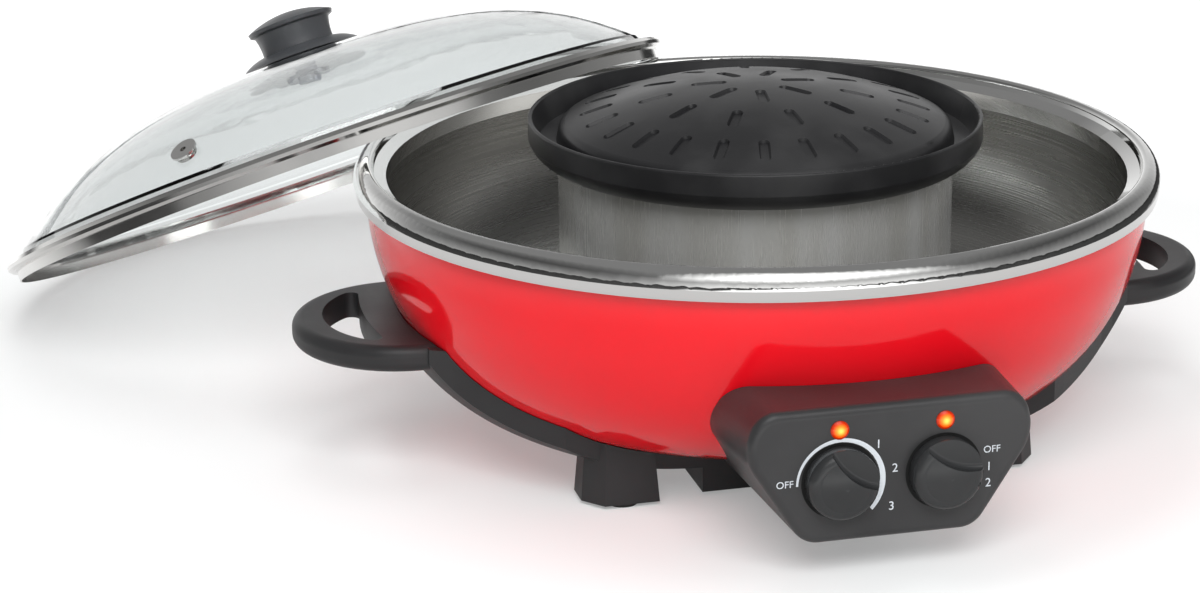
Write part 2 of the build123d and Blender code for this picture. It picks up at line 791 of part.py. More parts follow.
def housing_bosses():
    """Posts for the bracket's screws, and two lugs on the bowl's wall."""
    bosses = Part()
    front = -panel_front_y + panel_wall
    for x, z in boss_places:
        bosses += rod(boss_r, (x, front - 1, z), (x, -bracket_y, z))
        bosses -= rod(boss_screw_r, (x, front + 1, z), (x, -bracket_y, z))
    lug = Pos(0, 0, wall_screw_length / 2 - 2) * Cylinder(lug_r, wall_screw_length + 4)
    lugs = on_wall(lug, housing_screw_places, housing_screw_z)
    return bosses + (lugs & panel_block(1.0, panel_front_y - panel_wall, base_half_y - 1))


def control_bracket():
    """Flat steel plate on the housing's posts that carries the two controls."""
    outline = panel_shape(panel_wall + bracket_play, 0)
    face = Plane(origin=(0, -bracket_y, 0), x_dir=(1, 0, 0), z_dir=(0, -1, 0)) * outline
    plate = extrude(face, bracket_t, dir=(0, 1, 0))
    for x in (-knob_x, knob_x):
        plate -= rod(bush_r, (x, -bracket_y - 1, knob_z), (x, -bracket_y + 5, knob_z))
    for x, z in boss_places:
        plate -= rod(boss_screw_r, (x, -bracket_y - 1, z), (x, -bracket_y + 5, z))
    for x in (-lamp_x, lamp_x):
        plate -= rod(neon_r + 1, (x, -bracket_y - 1, lamp_z), (x, -bracket_y + 5, lamp_z))
    return plate


def bracket_screws():
    screws = Part()
    for x, z in boss_places:
        start = -bracket_y + bracket_t + 1.5
        screws += screw(boss_screw_r, 3.0, 1.5, (x, start, z), (x, -panel_front_y + panel_wall + 1.5, z))
    return screws


def control_unit(x, depth):
    """A control's case behind the bracket, its threaded bush and its two blades."""
    half = control_body / 2
    back = -bracket_y + bracket_t
    case = block((x - half, x + half), (back, back + depth), (knob_z - half, knob_z + half))
    unit = fillet(case.edges().filter_by(Axis.Y), 3.0)
    unit += rod(bush_r, (x, -panel_front_y + panel_wall, knob_z), (x, back + 1, knob_z))
    for side in (-1, 1):
        blade_x = x + side * blade_gap / 2
        blade_wide = (blade_x - blade_half_width, blade_x + blade_half_width)
        blade_thick = (knob_z - blade_half_thick, knob_z + blade_half_thick)
        unit += block(blade_wide, (back + depth, back + depth + blade_h), blade_thick)
    return unit - rod(shaft_r + run_gap, (x, -panel_front_y, knob_z), (x, back + depth - 4, knob_z))


def thermostat():
    return control_unit(-knob_x, thermostat_depth)


def grill_switch():
    return control_unit(knob_x, switch_depth)


def control_shaft(x, depth):
    """A control's spindle, from inside its case to the bottom of the knob's socket."""
    tip_y = -panel_front_y - knob_face_gap - knob_socket
    return rod(shaft_r, (x, tip_y, knob_z), (x, -bracket_y + bracket_t + depth - 4 - seat_gap, knob_z))


def thermostat_shaft():
    return control_shaft(-knob_x, thermostat_depth)


def switch_shaft():
    return control_shaft(knob_x, switch_depth)


def control_knob(x, pointer_turn):
    """A domed round knob, scooped flat on one side of a curved ridge that the fingers push on."""
    edge = (knob_r, knob_side_h)
    crown = (knob_crown_r, knob_h - knob_crown_h)
    shoulder = ((knob_r + crown[0]) / 2 + 0.9, (knob_side_h + crown[1]) / 2 + 0.8)
    dome = ThreePointArc(edge, shoulder, crown) + cap_arc(*crown, knob_crown_h)
    knob = turned(Polyline((0, knob_h), (0, 0), (knob_r, 0), edge) + dome)
    scoop = math.radians(scoop_turn)
    tool = Pos(0, 0, scoop_floor_h + knob_h) * Cylinder(scoop_r, 2 * knob_h)
    tool = fillet(tool.edges().sort_by(Axis.Z)[0], scoop_round)
    knob -= Pos(scoop_offset * math.sin(scoop), scoop_offset * math.cos(scoop)) * tool
    point = math.radians(pot_knob_turn)
    knob -= Pos(shoulder[0] * math.sin(point), shoulder[0] * math.cos(point), shoulder[1]) * Sphere(pointer_r)
    knob -= Pos(0, 0, knob_socket / 2) * Cylinder(shaft_r, knob_socket)
    front = Plane(origin=(x, -panel_front_y - knob_face_gap, knob_z), x_dir=(1, 0, 0), z_dir=(0, -1, 0))
    return front * Rot(0, 0, pot_knob_turn - pointer_turn) * knob


def hot_pot_knob():
    return control_knob(-knob_x, pot_knob_turn)


def grill_knob():
    return control_knob(knob_x, grill_knob_turn)


def lamp_lens(x):
    """Domed lens pressed through the face, with a flange behind it."""
    y = -panel_front_y
    front = y - lamp_proud + lamp_dome_h
    dome_r = sphere_r(lamp_dome_h, lamp_lens_r)
    lens = Pos(x, front - lamp_dome_h + dome_r, lamp_z) * Sphere(dome_r)
    lens &= rod(lamp_lens_r, (x, y - lamp_proud - 1, lamp_z), (x, front, lamp_z))
    lens += rod(lamp_lens_r, (x, front, lamp_z), (x, y + panel_wall, lamp_z))
    lens += rod(lamp_flange_r, (x, y + panel_wall, lamp_z), (x, y + panel_wall + 1.5, lamp_z))
    return lens - rod(neon_r, (x, y + 0.4, lamp_z), (x, y + 10, lamp_z))


def hot_pot_lamp_lens():
    return lamp_lens(-lamp_x)


def grill_lamp_lens():
    return lamp_lens(lamp_x)


def neon_lamps():
    """Two small glow lamps, each pushed into the back of its lens."""
    lamps = Part()
    for x in (-lamp_x, lamp_x):
        y = -panel_front_y + 0.4
        lamps += rod(neon_r, (x, y, lamp_z), (x, y + neon_length, lamp_z))
    return lamps


# ================================================================ wiring and inlet
def power_inlet():
    """Appliance inlet in the back wall, open to the back, with two contact pins."""
    y1 = base_half_y + 1.5
    y0 = y1 - inlet_depth
    x, z = inlet_half_x, inlet_half_z
    shell = block((-x, x), (y0, y1), (inlet_z - z, inlet_z + z))
    x, z = x - inlet_wall, z - inlet_wall
    shell -= block((-x, x), (y0 + inlet_wall, y1 + 1), (inlet_z - z, inlet_z + z))
    for x in (-inlet_pin_gap / 2, inlet_pin_gap / 2):
        shell += rod(inlet_pin_r, (x, y0 - inlet_tail, inlet_z), (x, y0 + 14, inlet_z))
    return shell


terminal_z = base_low_z + cover_t + terminal_h / 2


def terminal_block():
    """Block on the cover's inside with a row of screw-clamp bores from front and back."""
    y0, y1 = terminal_y
    height = (base_low_z + cover_t, terminal_z + terminal_h / 2)
    body = block((-terminal_half_x, terminal_half_x), (y0, y1), height)
    for k in (-2, -1, 0, 1, 2):
        x = k * terminal_pitch
        body -= rod(wire_r, (x, y0, terminal_z), (x, y0 + 4, terminal_z))
        body -= rod(wire_r, (x, y1 - 4, terminal_z), (x, y1, terminal_z))
    return body


def wire(*points):
    """An insulated lead along straight runs joined by arcs."""
    path = FilletPolyline(*points, radius=wire_bend)
    return sweep(Plane(origin=path @ 0, z_dir=path % 0) * Circle(wire_r), path)


def internal_wiring():
    """Leads from the terminal block to the inlet, the two controls and the two elements."""
    z = terminal_z
    y0, y1 = terminal_y
    pitch = terminal_pitch
    back = -bracket_y + bracket_t
    leads = Part()
    for side, depth in ((-1, thermostat_depth), (1, switch_depth)):
        x = side * 2 * pitch
        blade = (side * (knob_x - blade_gap / 2), back + depth + blade_h, knob_z)
        behind = (blade[0], blade[1] + 9, blade[2])
        leads += wire(
            (x, y0 + 4, z), (x, -duct_front_y + 6, z), (x, -duct_front_y + 4, panel_low[1] + 7), behind, blade
        )
    for side in (-1, 1):
        pin = (side * inlet_pin_gap / 2, base_half_y + 1.5 - inlet_depth - inlet_tail, inlet_z)
        before_pin = (pin[0], pin[1] - 10, pin[2])
        leads += wire((side * 2 * pitch, y1 - 4, z), (side * 2 * pitch, y1 + 12, z), before_pin, pin)
    for (x, y), tail_z, lead_drop, rise_x in (
        (tail_places(grill_element_r)[0], grill_tail_z, grill_lead_drop, -pitch),
        (tail_places(pot_element_r)[0], pot_tail_z, pot_lead_drop, pitch),
    ):
        lead_z = tail_z - lead_drop
        leads += wire((x, y, tail_z), (x, y, lead_z), (rise_x, y, lead_z), (rise_x, y, z), (rise_x, y0 + 4, z))
    return leads


# ================================================================ lid
glass_bottom_h = lid_skirt_h + lid_sheet
dome_base_h = glass_bottom_h + glass_t + lid_sheet


def dome_h(r):
    """Height of the glass's outside above the lid's lower plane at a radius."""
    return dome_base_h + glass_rise * (1 - (r / glass_dome_r) ** glass_fullness)


def dome_slope(r):
    return glass_rise * glass_fullness / glass_dome_r * (r / glass_dome_r) ** (glass_fullness - 1)


def dome_in_h(r):
    """Height of the glass's inside, one glass thickness below the outside along the slope."""
    return dome_h(r) - glass_t * math.sqrt(1 + dome_slope(r) ** 2)


def dome_curve(height, last_r):
    """A smooth profile from the axis out to a radius, through heights given by a function."""
    stations = [last_r * k / 8 for k in range(9)]
    return Spline(*[(r, height(r)) for r in stations], tangents=((1, 0), (1, -dome_slope(last_r))))


def vent_place():
    turn = math.radians(vent_turn)
    return vent_r * math.cos(turn), vent_r * math.sin(turn)


def vent_plane():
    """The plane on the glass's outside at the vent, with its Z pointing out of the glass."""
    x, y = vent_place()
    slope = dome_slope(vent_r)
    return Plane(origin=(x, y, dome_h(vent_r)), z_dir=(x / vent_r * slope, y / vent_r * slope, 1))


def lid_glass():
    low = glass_bottom_h
    high = low + glass_t
    upper = dome_curve(dome_h, glass_bend_r)
    inner_bend_r = glass_bend_r - glass_t * 0.75
    lower = dome_curve(dome_in_h, inner_bend_r)
    edge = Polyline(
        (glass_bend_r, dome_h(glass_bend_r)),
        (glass_bend_r + glass_bend_width, high),
        (glass_flange_r, high),
        (glass_flange_r, low),
        (inner_bend_r + 2.2, low),
        (inner_bend_r, dome_in_h(inner_bend_r)),
    )
    glass = turned(upper + edge + lower + Line((0, dome_in_h(0)), (0, dome_h(0))))
    glass -= rod(lid_stud_r, (0, 0, 0), (0, 0, 2 * glass_rise))
    return glass - vent_plane() * Cylinder(vent_hole_r, 30)


def lid_ring():
    """Rolled steel channel that grips the glass's edge: skirt, outer bead and top hem."""
    t = lid_sheet
    s = lid_skirt_h
    top = s + t + glass_t + t
    hem_r = glass_flange_r - lid_hem_width
    outline = Polyline(
        (lid_skirt_r - t, 0),
        (lid_skirt_r, 0),
        (lid_skirt_r, s),
        (lid_bead_r - lid_bead_round, s),
        (lid_bead_r, s + lid_bead_round),
        (lid_bead_r, top - 1.5 * lid_bead_round),
        (lid_bead_r - 1.5 * lid_bead_round, top),
        (hem_r, top),
        (hem_r, top - t),
        (glass_flange_r, top - t),
        (glass_flange_r, s + t),
        (lid_skirt_r - t, s + t),
        close=True,
    )
    return turned(outline)


def vent_grommet():
    """Rubber-backed steel eyelet in the glass, flanged on both sides."""
    t = vent_flange_t
    body = Pos(0, 0, t / 2) * Cylinder(vent_flange_r, t)
    body += Pos(0, 0, -glass_t / 2) * Cylinder(vent_hole_r, glass_t + 0.4)
    body += Pos(0, 0, -glass_t - 0.15 - t / 2) * Cylinder(vent_hole_r + 1.2, t)
    return vent_plane() * (body - Cylinder(vent_bore_r, 4 * glass_t))


def skirt_disc():
    """Drooping heat shield between the glass and the grip."""
    z0 = dome_h(0) + knob_washer_t
    root_z = z0 + knob_boss_h
    tip_z = root_z - skirt_disc_droop + skirt_disc_t
    half = (grip_waist_r + skirt_disc_r) / 2
    top_z = root_z + skirt_disc_t
    inner_r = grip_waist_r + 0.5
    outline = (
        Polyline((lid_stud_r, z0), (knob_boss_r, z0), (knob_boss_r, root_z - 1.0), (skirt_disc_r, tip_z - 1.2))
        + ThreePointArc((skirt_disc_r, tip_z - 1.2), (half, (tip_z + top_z) / 2 + 0.7), (inner_r, top_z))
        + Polyline((inner_r, top_z), (lid_stud_r, top_z), (lid_stud_r, z0))
    )
    return turned(outline)


grip_base_z = dome_h(0) + knob_washer_t + knob_boss_h + skirt_disc_t


def lid_knob():
    """Grip: a waisted column under a domed cap."""
    z0 = grip_base_z
    neck_z = z0 + grip_neck_h
    cap_z = neck_z + grip_cap_edge
    outline = (
        Polyline((lid_stud_r, z0), (grip_waist_r, z0))
        + ThreePointArc((grip_waist_r, z0), (grip_waist_r + 0.2, (z0 + neck_z) / 2), (grip_neck_r, neck_z - 1))
        + Polyline((grip_neck_r, neck_z - 1), (grip_cap_r - 0.6, neck_z), (grip_cap_r, cap_z))
        + cap_arc(grip_cap_r, cap_z, grip_cap_rise)
        + Polyline((0, cap_z + grip_cap_rise), (0, neck_z - 1), (lid_stud_r, neck_z - 1), (lid_stud_r, z0))
    )
    return turned(outline)


def knob_washer():
    z0 = dome_h(0)
    return ring(knob_washer_r, lid_stud_r, z0, z0 + knob_washer_t)


def lid_knob_screw():
    z_head = dome_in_h(inner_washer_r) - knob_washer_t
    return screw(lid_stud_r, 6.5, 3.0, (0, 0, z_head - 3.0), (0, 0, grip_base_z + grip_neck_h - 1.5))


def inner_washer():
    z1 = dome_in_h(inner_washer_r)
    return ring(inner_washer_r, lid_stud_r, z1 - knob_washer_t, z1)


def rim_surface_z(r):
    """Height of the rim's outside over its crest."""
    across = (r - crest_r) / (rim_r - crest_r)
    if r >= crest_r:
        return rim_wide_z + (crest_z - rim_wide_z) * math.sqrt(max(0.0, 1 - across * across))
    return crest_z - (crest_r - r) ** 2 / (crest_r - groove_r)


def lid_place(distance):
    """Where the leaning lid stands, its lower edge on the table, at a distance from the pot's axis."""
    height = seat_gap + lid_skirt_r * math.sin(math.radians(lid_tilt))
    stand = Rot(0, 0, lid_foot_turn) * Pos(distance, 0, height)
    return stand * Rot(0, 0, lid_lean_turn - lid_foot_turn) * Rot(0, lid_tilt, 0)


def lid_gap(distance):
    """Least height of the lid's lower edge above the pot's rim at a distance."""
    tilt = math.radians(lid_tilt)
    twist = math.radians(lid_lean_turn - lid_foot_turn)
    least = crest_z
    for k in range(1440):
        turn = math.radians(k / 4)
        down, side = lid_skirt_r * math.cos(turn), lid_skirt_r * math.sin(turn)
        z = seat_gap + lid_skirt_r * math.sin(tilt) - down * math.sin(tilt)
        out = down * math.cos(tilt)
        x = distance + out * math.cos(twist) - side * math.sin(twist)
        y = out * math.sin(twist) + side * math.cos(twist)
        r = math.hypot(x, y)
        if groove_r <= r <= rim_r:
            least = min(least, z - rim_surface_z(r))
    return least


def lid_distance():
    """Distance at which the lid just clears the rim by the seat gap."""
    near, far = bowl_mouth_r, bowl_mouth_r + 0.6 * lid_skirt_r
    for _ in range(30):
        mid = (near + far) / 2
        if lid_gap(mid) < seat_gap:
            near = mid
        else:
            far = mid
    return far


# ================================================================ write the pieces
pieces = {
    "outer_bowl": outer_bowl,
    "inner_pot": inner_pot,
    "pot_chimney": pot_chimney,
    "grill_plate": grill_plate,
    "plate_locating_ring": plate_locating_ring,
    "grill_heating_element": grill_heating_element,
    "grill_element_clips": grill_element_clips,
    "heat_reflector": heat_reflector,
    "heater_pedestal": heater_pedestal,
    "pedestal_screws": pedestal_screws,
    "thermal_fuse": thermal_fuse,
    "pot_heating_element": pot_heating_element,
    "pot_element_clips": pot_element_clips,
    "pot_heat_reflector": pot_heat_reflector,
    "base_frame": base_frame,
    "foot_arms": foot_arms,
    "bottom_cover": bottom_cover,
    "cover_screws": cover_screws,
    "rubber_feet": rubber_feet,
    "handle_left": handle_left,
    "handle_right": handle_right,
    "handle_screws": handle_screws,
    "housing_screws": housing_screws,
    "control_housing": control_housing,
    "control_bracket": control_bracket,
    "bracket_screws": bracket_screws,
    "thermostat": thermostat,
    "grill_switch": grill_switch,
    "thermostat_shaft": thermostat_shaft,
    "switch_shaft": switch_shaft,
    "hot_pot_knob": hot_pot_knob,
    "grill_knob": grill_knob,
    "hot_pot_lamp_lens": hot_pot_lamp_lens,
    "grill_lamp_lens": grill_lamp_lens,
    "neon_lamps": neon_lamps,
    "power_inlet": power_inlet,
    "terminal_block": terminal_block,
    "internal_wiring": internal_wiring,
}
lid_pieces = {
    "lid_glass": lid_glass,
    "lid_ring": lid_ring,
    "vent_grommet": vent_grommet,
    "knob_washer": knob_washer,
    "skirt_disc": skirt_disc,
    "lid_knob": lid_knob,
    "inner_washer": inner_washer,
    "lid_knob_screw": lid_knob_screw,
}

for name, make in pieces.items():
    export_step(make(), f"parts/{name}.step")

place = lid_place(lid_distance())
for name, make in lid_pieces.items():
    export_step(place * make(), f"parts/{name}.step")
print("lid axis stands", round(lid_distance(), 2), "from the pot's axis")
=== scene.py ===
import math

import bpy
from mathutils import Matrix, Vector


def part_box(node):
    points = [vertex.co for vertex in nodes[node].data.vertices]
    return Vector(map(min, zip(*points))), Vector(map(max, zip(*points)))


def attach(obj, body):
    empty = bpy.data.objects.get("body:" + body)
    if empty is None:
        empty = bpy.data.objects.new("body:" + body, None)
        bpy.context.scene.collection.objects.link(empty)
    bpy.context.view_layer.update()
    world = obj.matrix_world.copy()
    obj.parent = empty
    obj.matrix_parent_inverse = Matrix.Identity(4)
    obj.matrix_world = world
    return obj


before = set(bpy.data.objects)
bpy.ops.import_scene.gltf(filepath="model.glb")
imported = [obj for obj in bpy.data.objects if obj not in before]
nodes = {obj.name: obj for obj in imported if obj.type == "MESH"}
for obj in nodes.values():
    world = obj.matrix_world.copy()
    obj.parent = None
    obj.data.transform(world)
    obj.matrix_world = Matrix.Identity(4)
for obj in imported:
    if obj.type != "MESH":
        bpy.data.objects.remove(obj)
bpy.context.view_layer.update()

# ------------------------------------------------------------------ outer bowl
# The bowl is one deep drawn steel pressing, sprayed and stoved in glossy red enamel.
# The coat flows as it is stoved, which leaves a faint orange peel, and it is a shade deeper where it pools.
enamel_red = (0.84, 0.004, 0.012)
enamel_deep_red = (0.74, 0.002, 0.009)
pool_scale = 5.0
waver_scale = 35.0
enamel_roughness = (0.06, 0.12)
peel_scale = 240.0
peel_height = 0.00003
clear_coat = 0.12
clear_coat_roughness = 0.03

# a noise seldom leaves these ranges, so each is stretched over the values wanted
most_of_noise = (0.3, 0.7)
core_of_noise = (0.35, 0.65)
heart_of_noise = (0.4, 0.6)


def new_finish(name, colour, roughness, metallic=0.0):
    finish = bpy.data.materials.new(name)
    finish.use_nodes = True
    shader = finish.node_tree.nodes["Principled BSDF"]
    shader.inputs["Base Color"].default_value = (*colour, 1.0)
    shader.inputs["Roughness"].default_value = roughness
    shader.inputs["Metallic"].default_value = metallic
    return finish, shader


def link(tree, output, target):
    tree.links.new(output, target)


def object_place(tree):
    return tree.nodes.new("ShaderNodeTexCoord").outputs["Object"]


def noise(tree, place, scale, detail=3.0):
    node = tree.nodes.new("ShaderNodeTexNoise")
    node.inputs["Scale"].default_value = scale
    node.inputs["Detail"].default_value = detail
    link(tree, place, node.inputs["Vector"])
    return node.outputs["Fac"]


def remap(tree, value, source, target=(0.0, 1.0)):
    node = tree.nodes.new("ShaderNodeMapRange")
    node.inputs["From Min"].default_value = source[0]
    node.inputs["From Max"].default_value = source[1]
    node.inputs["To Min"].default_value = target[0]
    node.inputs["To Max"].default_value = target[1]
    link(tree, value, node.inputs["Value"])
    return node.outputs["Result"]


# a Mix node has its factor at 0, its numbers at 2 and 3, its colours at 6 and 7, and its results at 0 and 2
def blend_colours(tree, share, first, second):
    node = tree.nodes.new("ShaderNodeMix")
    node.data_type = "RGBA"
    node.inputs[6].default_value = (*first, 1.0)
    node.inputs[7].default_value = (*second, 1.0)
    link(tree, share, node.inputs[0])
    return node.outputs[2]


def blend_values(tree, share, first, second):
    node = tree.nodes.new("ShaderNodeMix")
    for socket, value in ((node.inputs[2], first), (node.inputs[3], second)):
        if isinstance(value, float):
            socket.default_value = value
        else:
            link(tree, value, socket)
    link(tree, share, node.inputs[0])
    return node.outputs[0]


def raise_bump(tree, shader, height, distance, strength=1.0):
    node = tree.nodes.new("ShaderNodeBump")
    node.inputs["Distance"].default_value = distance
    node.inputs["Strength"].default_value = strength
    link(tree, height, node.inputs["Height"])
    link(tree, node.outputs["Normal"], shader.inputs["Normal"])


def dress(finish, *names):
    for name in names:
        for place in nodes[name].material_slots:
            place.material = finish


enamel, shader = new_finish("red_enamel", enamel_red, enamel_roughness[0])
tree = enamel.node_tree
place = object_place(tree)
pooled = remap(tree, noise(tree, place, pool_scale), core_of_noise)
link(tree, blend_colours(tree, pooled, enamel_red, enamel_deep_red), shader.inputs["Base Color"])
waver = remap(tree, noise(tree, place, waver_scale), most_of_noise, enamel_roughness)
link(tree, waver, shader.inputs["Roughness"])
raise_bump(tree, shader, noise(tree, place, peel_scale, detail=1.0), peel_height)
shader.inputs["Coat Weight"].default_value = clear_coat
shader.inputs["Coat Roughness"].default_value = clear_coat_roughness
dress(enamel, "outer_bowl")

# ------------------------------------------------------------------ inner pot and rim
# The pot is spun from stainless sheet: the lathe leaves fine rings on its wall and floor.
# Its rolled rim, lid seat and outer band are buffed to a mirror.
steel_grey = (0.78, 0.78, 0.77)
# away from the rim, on the wall and floor, the steel is given a much darker grey than on the rim
steel_darker_off_rim = (0.37, 0.365, 0.35)
mirror_starts_z = 0.1236
mirror_starts_r = 0.181
pot_rings = 1400.0
cloud_scale = 9.0
wall_roughness_range = (0.22, 0.36)
rim_roughness_range = (0.04, 0.09)
ring_depth = 0.00001
ring_strength = 0.25
flat_height = 0.5


def new_effect(name, numbers, outputs):
    effect = bpy.data.node_groups.new(name, "ShaderNodeTree")
    effect.interface.new_socket("Vector", in_out="INPUT", socket_type="NodeSocketVector")
    for socket_name, value in numbers.items():
        socket = effect.interface.new_socket(socket_name, in_out="INPUT", socket_type="NodeSocketFloat")
        socket.default_value = value
    for socket_name in outputs:
        effect.interface.new_socket(socket_name, in_out="OUTPUT", socket_type="NodeSocketFloat")
    return effect, effect.nodes.new("NodeGroupInput"), effect.nodes.new("NodeGroupOutput")


def place_effect(tree, effect, place, **numbers):
    node = tree.nodes.new("ShaderNodeGroup")
    node.node_tree = effect
    link(tree, place, node.inputs["Vector"])
    for name, value in numbers.items():
        node.inputs[name.replace("_", " ")].default_value = value
    return node


def calculate(tree, kind, first, second=None):
    node = tree.nodes.new("ShaderNodeMath")
    node.operation = kind
    for socket, value in zip(node.inputs, (first, second)):
        if isinstance(value, float):
            socket.default_value = value
        elif value is not None:
            link(tree, value, socket)
    return node.outputs[0]


def split(tree, place):
    node = tree.nodes.new("ShaderNodeSeparateXYZ")
    link(tree, place, node.inputs[0])
    return node.outputs


def combine(tree, *values):
    node = tree.nodes.new("ShaderNodeCombineXYZ")
    for socket, value in zip(node.inputs, values):
        if isinstance(value, float):
            socket.default_value = value
        else:
            link(tree, value, socket)
    return node.outputs[0]


def across_axis(tree, place):
    x, y, z = split(tree, place)
    x_squared = calculate(tree, "MULTIPLY", x, x)
    y_squared = calculate(tree, "MULTIPLY", y, y)
    return calculate(tree, "SQRT", calculate(tree, "ADD", x_squared, y_squared))


# rings left by the lathe, round the Z axis of the vector that comes in
ring_numbers = {"Rings": 900.0, "Wander": 3.0}
lathe_rings, came_in, goes_out = new_effect("lathe_rings", ring_numbers, ("Ring", "Cloud"))
radius = across_axis(lathe_rings, came_in.outputs["Vector"])
height = split(lathe_rings, came_in.outputs["Vector"])[2]
cloud = noise(lathe_rings, came_in.outputs["Vector"], cloud_scale)
wander = calculate(lathe_rings, "MULTIPLY", cloud, came_in.outputs["Wander"])
ring_place = combine(
    lathe_rings,
    calculate(lathe_rings, "MULTIPLY", radius, came_in.outputs["Rings"]),
    calculate(lathe_rings, "MULTIPLY", height, came_in.outputs["Rings"]),
    wander,
)
link(lathe_rings, noise(lathe_rings, ring_place, scale=1.0), goes_out.inputs["Ring"])
link(lathe_rings, cloud, goes_out.inputs["Cloud"])

pot_steel, shader = new_finish("pot_steel", steel_grey, wall_roughness_range[0], metallic=1.0)
tree = pot_steel.node_tree
place = object_place(tree)
rings = place_effect(tree, lathe_rings, place, Rings=pot_rings)
radius = across_axis(tree, place)
height = split(tree, place)[2]
high_up = calculate(tree, "GREATER_THAN", height, mirror_starts_z)
far_out = calculate(tree, "GREATER_THAN", radius, mirror_starts_r)
on_rim = calculate(tree, "MULTIPLY", high_up, far_out)
wall_roughness = remap(tree, rings.outputs["Ring"], most_of_noise, wall_roughness_range)
rim_roughness = remap(tree, rings.outputs["Cloud"], most_of_noise, rim_roughness_range)
link(tree, blend_values(tree, on_rim, wall_roughness, rim_roughness), shader.inputs["Roughness"])
link(tree, blend_colours(tree, on_rim, steel_darker_off_rim, steel_grey), shader.inputs["Base Color"])
ring_height = blend_values(tree, on_rim, rings.outputs["Ring"], flat_height)
raise_bump(tree, shader, ring_height, ring_depth, ring_strength)
dress(pot_steel, "inner_pot")

# ------------------------------------------------------------------ chimney
# The chimney is a strip of stainless sheet rolled to a tube, with one upright butt weld.
# A ring of overlapping weld beads holds it in the pot's floor.
# Its brushing runs up and down as fine upright streaks; the broad upright bands of light and dark over them
# are a painted reflection in its colour.
brush_and_reflection_dark = (0.78, 0.775, 0.74)
brush_and_reflection_light = (0.94, 0.945, 0.935)
brush_metallic = 0.72
fine_streaks = {"round_scale": 260.0, "up_scale": 22.0, "detail": 4.0}
# broad upright bands of light and dark: a painted reflection
painted_reflection_bands = {"round_scale": 5.0, "up_scale": 1.0, "detail": 1.0}
fine_part = 0.10
painted_reflection_part = 0.90
brush_roughness = (0.24, 0.28)
brush_depth = 0.00001
brush_strength = 0.2
seam_turn = math.radians(-73.0)
seam_half_width = math.radians(0.45)
seam_height = 3.0  # as a multiple of the brushing's own height

chimney_steel, shader = new_finish("chimney_steel", brush_and_reflection_light, brush_roughness[0], brush_metallic)
tree = chimney_steel.node_tree
place = object_place(tree)
x, y, z = split(tree, place)
turn = calculate(tree, "ARCTAN2", y, x)


def upright_streaks(tree, turn, z, round_scale, up_scale, detail):
    across = calculate(tree, "MULTIPLY", turn, round_scale)
    along = calculate(tree, "MULTIPLY", z, up_scale)
    return noise(tree, combine(tree, across, along, 0.0), 1.0, detail)


brushing = upright_streaks(tree, turn, z, **fine_streaks)
bands = upright_streaks(tree, turn, z, **painted_reflection_bands)
fine_share = calculate(tree, "MULTIPLY", brushing, fine_part)
tone = calculate(tree, "ADD", fine_share, calculate(tree, "MULTIPLY", bands, painted_reflection_part))
off_seam = calculate(tree, "ABSOLUTE", calculate(tree, "SUBTRACT", turn, seam_turn))
at_seam = remap(tree, off_seam, (0.0, seam_half_width), (1.0, 0.0))
# the colour mixes the real brushing streaks with the broad bands of painted reflection
share = remap(tree, tone, core_of_noise)
link(tree, blend_colours(tree, share, brush_and_reflection_dark, brush_and_reflection_light), shader.inputs["Base Color"])
link(tree, remap(tree, brushing, most_of_noise, brush_roughness), shader.inputs["Roughness"])
brushed_height = calculate(tree, "ADD", brushing, calculate(tree, "MULTIPLY", at_seam, seam_height))
raise_bump(tree, shader, brushed_height, brush_depth, brush_strength)
dress(chimney_steel, "pot_chimney")

# the beads keep the straw and blue tints that the weld's heat leaves
weld_grey = (0.52, 0.50, 0.47)
weld_straw = (0.55, 0.50, 0.40)
weld_blue = (0.40, 0.42, 0.50)
tint_scale = 55.0
weld_roughness = (0.22, 0.42)

weld_steel, shader = new_finish("weld_steel", weld_grey, weld_roughness[0], metallic=1.0)
tree = weld_steel.node_tree
heat_tint = noise(tree, object_place(tree), tint_scale)
tinted = blend_colours(tree, remap(tree, heat_tint, heart_of_noise), weld_straw, weld_blue)
link(tree, tinted, shader.inputs["Base Color"])
link(tree, remap(tree, heat_tint, most_of_noise, weld_roughness), shader.inputs["Roughness"])

# one bead of weld, set side by side round a circle
weld_sizes = {
    "Radius": 0.097,
    "Height": 0.05,
    "Bead Length": 0.005,
    "Bead Width": 0.003,
    "Bead Height": 0.0016,
}
bead_count = 150
bead_subdivisions = 2
weld_stands_out = 0.0004
weld_stands_up = 0.0009

weld_tree = bpy.data.node_groups.new("weld_ring", "GeometryNodeTree")
for name, size in weld_sizes.items():
    socket = weld_tree.interface.new_socket(name, in_out="INPUT", socket_type="NodeSocketFloat")
    socket.default_value = size
socket = weld_tree.interface.new_socket("Beads", in_out="INPUT", socket_type="NodeSocketInt")
socket.default_value = bead_count
weld_tree.interface.new_socket("Finish", in_out="INPUT", socket_type="NodeSocketMaterial")
weld_tree.interface.new_socket("Geometry", in_out="OUTPUT", socket_type="NodeSocketGeometry")
weld_in = weld_tree.nodes.new("NodeGroupInput").outputs
weld_out = weld_tree.nodes.new("NodeGroupOutput").inputs
circle = weld_tree.nodes.new("GeometryNodeMeshCircle")
link(weld_tree, weld_in["Beads"], circle.inputs["Vertices"])
link(weld_tree, weld_in["Radius"], circle.inputs["Radius"])
bead = weld_tree.nodes.new("GeometryNodeMeshIcoSphere")
bead.inputs["Radius"].default_value = 0.5  # one across, so that the scale is the bead's size
bead.inputs["Subdivisions"].default_value = bead_subdivisions
outwards = weld_tree.nodes.new("FunctionNodeAlignRotationToVector")
outwards.axis = "X"
link(weld_tree, weld_tree.nodes.new("GeometryNodeInputPosition").outputs[0], outwards.inputs["Vector"])
